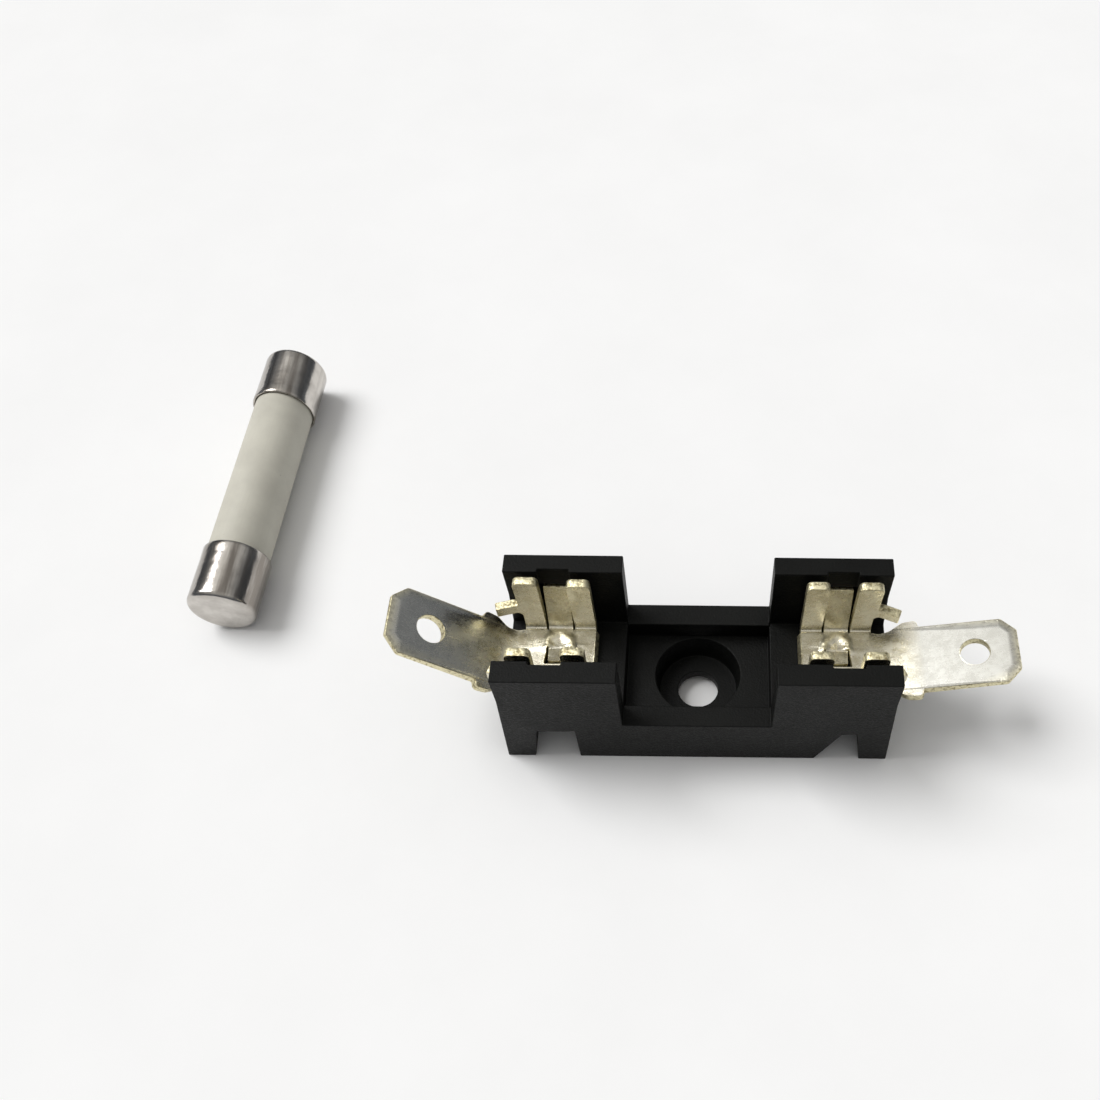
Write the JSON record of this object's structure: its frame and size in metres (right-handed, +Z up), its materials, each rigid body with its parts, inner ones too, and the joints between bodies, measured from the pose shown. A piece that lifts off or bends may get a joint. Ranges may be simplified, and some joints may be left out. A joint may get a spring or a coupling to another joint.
{
  "type": "cartridge fuse holder",
  "caption": "Moulded black block with plated clip terminals, spring fingers and quick-connect blades for a cartridge fuse, with its ceramic fuse lying beside it.",
  "frame": {"origin": "on the axis of the block's screw hole, in the plane that the block stands on", "axes": "+X along the fuse seat towards the right terminal, +Y towards the back, +Z up out of the fuse seat"},
  "size_m": [0.077, 0.0451, 0.0143],
  "materials": {
    "moulded_black": "black moulded thermoplastic, satin, fine mould grain",
    "plated_brass": "tin-plated brass strip, warm silver, softly polished, brighter sheared edges",
    "nickel_cap": "nickel-plated brass, drawn cap, fine lines round it",
    "ceramic": "unglazed grey-beige ceramic, fine grain",
    "fuse_metal": "dull solder and plated wire, hidden inside the fuse",
    "sand": "quartz sand, hidden inside the fuse"
  },
  "bodies": {
    "holder": {"base_block": "moulded_black", "left_terminal": "plated_brass", "right_terminal": "plated_brass"},
    "left_back_fingers": {"left_back_inner_finger": "plated_brass", "left_back_outer_finger": "plated_brass"},
    "left_front_fingers": {"left_front_inner_finger": "plated_brass", "left_front_outer_finger": "plated_brass"},
    "right_back_fingers": {"right_back_inner_finger": "plated_brass", "right_back_outer_finger": "plated_brass"},
    "right_front_fingers": {"right_front_inner_finger": "plated_brass", "right_front_outer_finger": "plated_brass"},
    "fuse": {"fuse_tube": "ceramic", "fuse_cap_near": "nickel_cap", "fuse_cap_far": "nickel_cap", "fuse_wire": "fuse_metal", "solder_joint_near": "fuse_metal", "solder_joint_far": "fuse_metal", "sand_filler": "sand"}
  },
  "joints": [
    {"name": "left_clip_open", "type": "hinge", "parent": "holder", "child": "left_back_fingers", "pos_m": [-0.01243, 0.00365, 0.00695], "axis": [-1, 0, 0], "range_deg": [0, 3], "stiffness_Nm_per_rad": 0.05},
    {"name": "left_clip_front_open", "type": "hinge", "parent": "holder", "child": "left_front_fingers", "pos_m": [-0.01243, -0.00365, 0.00695], "axis": [1, 0, 0], "range_deg": [0, 3], "stiffness_Nm_per_rad": 0.05},
    {"name": "right_clip_open", "type": "hinge", "parent": "holder", "child": "right_back_fingers", "pos_m": [0.01243, 0.00365, 0.00695], "axis": [-1, 0, 0], "range_deg": [0, 3], "stiffness_Nm_per_rad": 0.05},
    {"name": "right_clip_front_open", "type": "hinge", "parent": "holder", "child": "right_front_fingers", "pos_m": [0.01243, -0.00365, 0.00695], "axis": [1, 0, 0], "range_deg": [0, 3], "stiffness_Nm_per_rad": 0.05},
    {"name": "fuse_lift", "type": "slide", "parent": "holder", "child": "fuse", "axis": [0, 0, 1], "range_m": [0, 0.03]}
  ],
  "couplings": [
    {"joint": "left_clip_front_open", "follows": "left_clip_open", "ratio": 1},
    {"joint": "right_clip_front_open", "follows": "right_clip_open", "ratio": 1}
  ]
}
